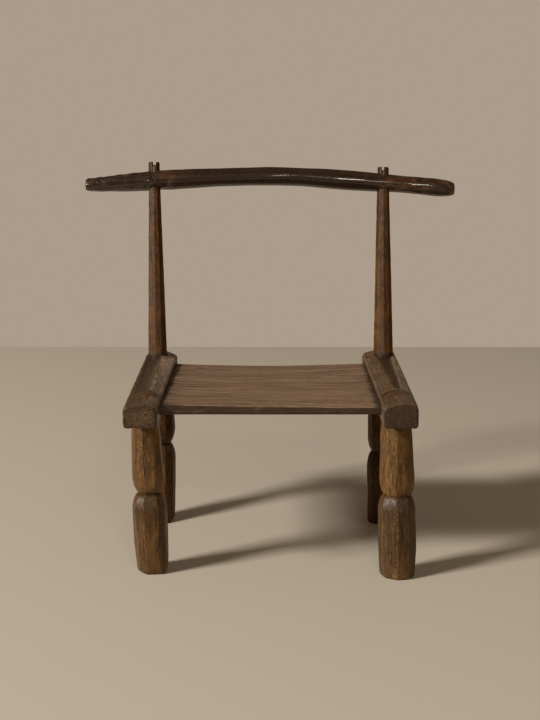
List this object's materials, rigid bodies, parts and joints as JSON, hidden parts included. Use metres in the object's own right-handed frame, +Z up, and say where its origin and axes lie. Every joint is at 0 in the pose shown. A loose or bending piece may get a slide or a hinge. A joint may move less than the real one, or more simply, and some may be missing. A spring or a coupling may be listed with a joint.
{
  "type": "low carved wooden chair",
  "caption": "Low hand-carved wooden chair: seat plank between two side rails, lobed legs, and back uprights that lean back through a bowed crest rail.",
  "frame": {"origin": "on the floor, under the middle of the chair's overall box", "axes": "+Z up; +X to the right as seen from in front, along the crest rail; the sitter faces -Y, so the back posts are towards +Y"},
  "size_m": [0.6225, 0.4834, 0.5745],
  "materials": {
    "leg_wood": "worn satin patina over hewn facets",
    "rail_wood": "dark patina, burnished along the top",
    "seat_wood": "matt, dry, streaky grain",
    "upright_wood": "satin patina over knife-cut and hewn facets",
    "crest_wood": "dark, hand-polished gloss",
    "wedge_wood": "matt, dry"
  },
  "bodies": {
    "root": {"seat_plank": "seat_wood", "side_rail_left": "rail_wood", "side_rail_right": "rail_wood", "front_leg_left": "leg_wood", "front_leg_right": "leg_wood", "back_upright_left": "upright_wood", "back_upright_right": "upright_wood", "crest_rail": "crest_wood", "crest_wedge_left": "wedge_wood", "crest_wedge_right": "wedge_wood"}
  },
  "joints": []
}
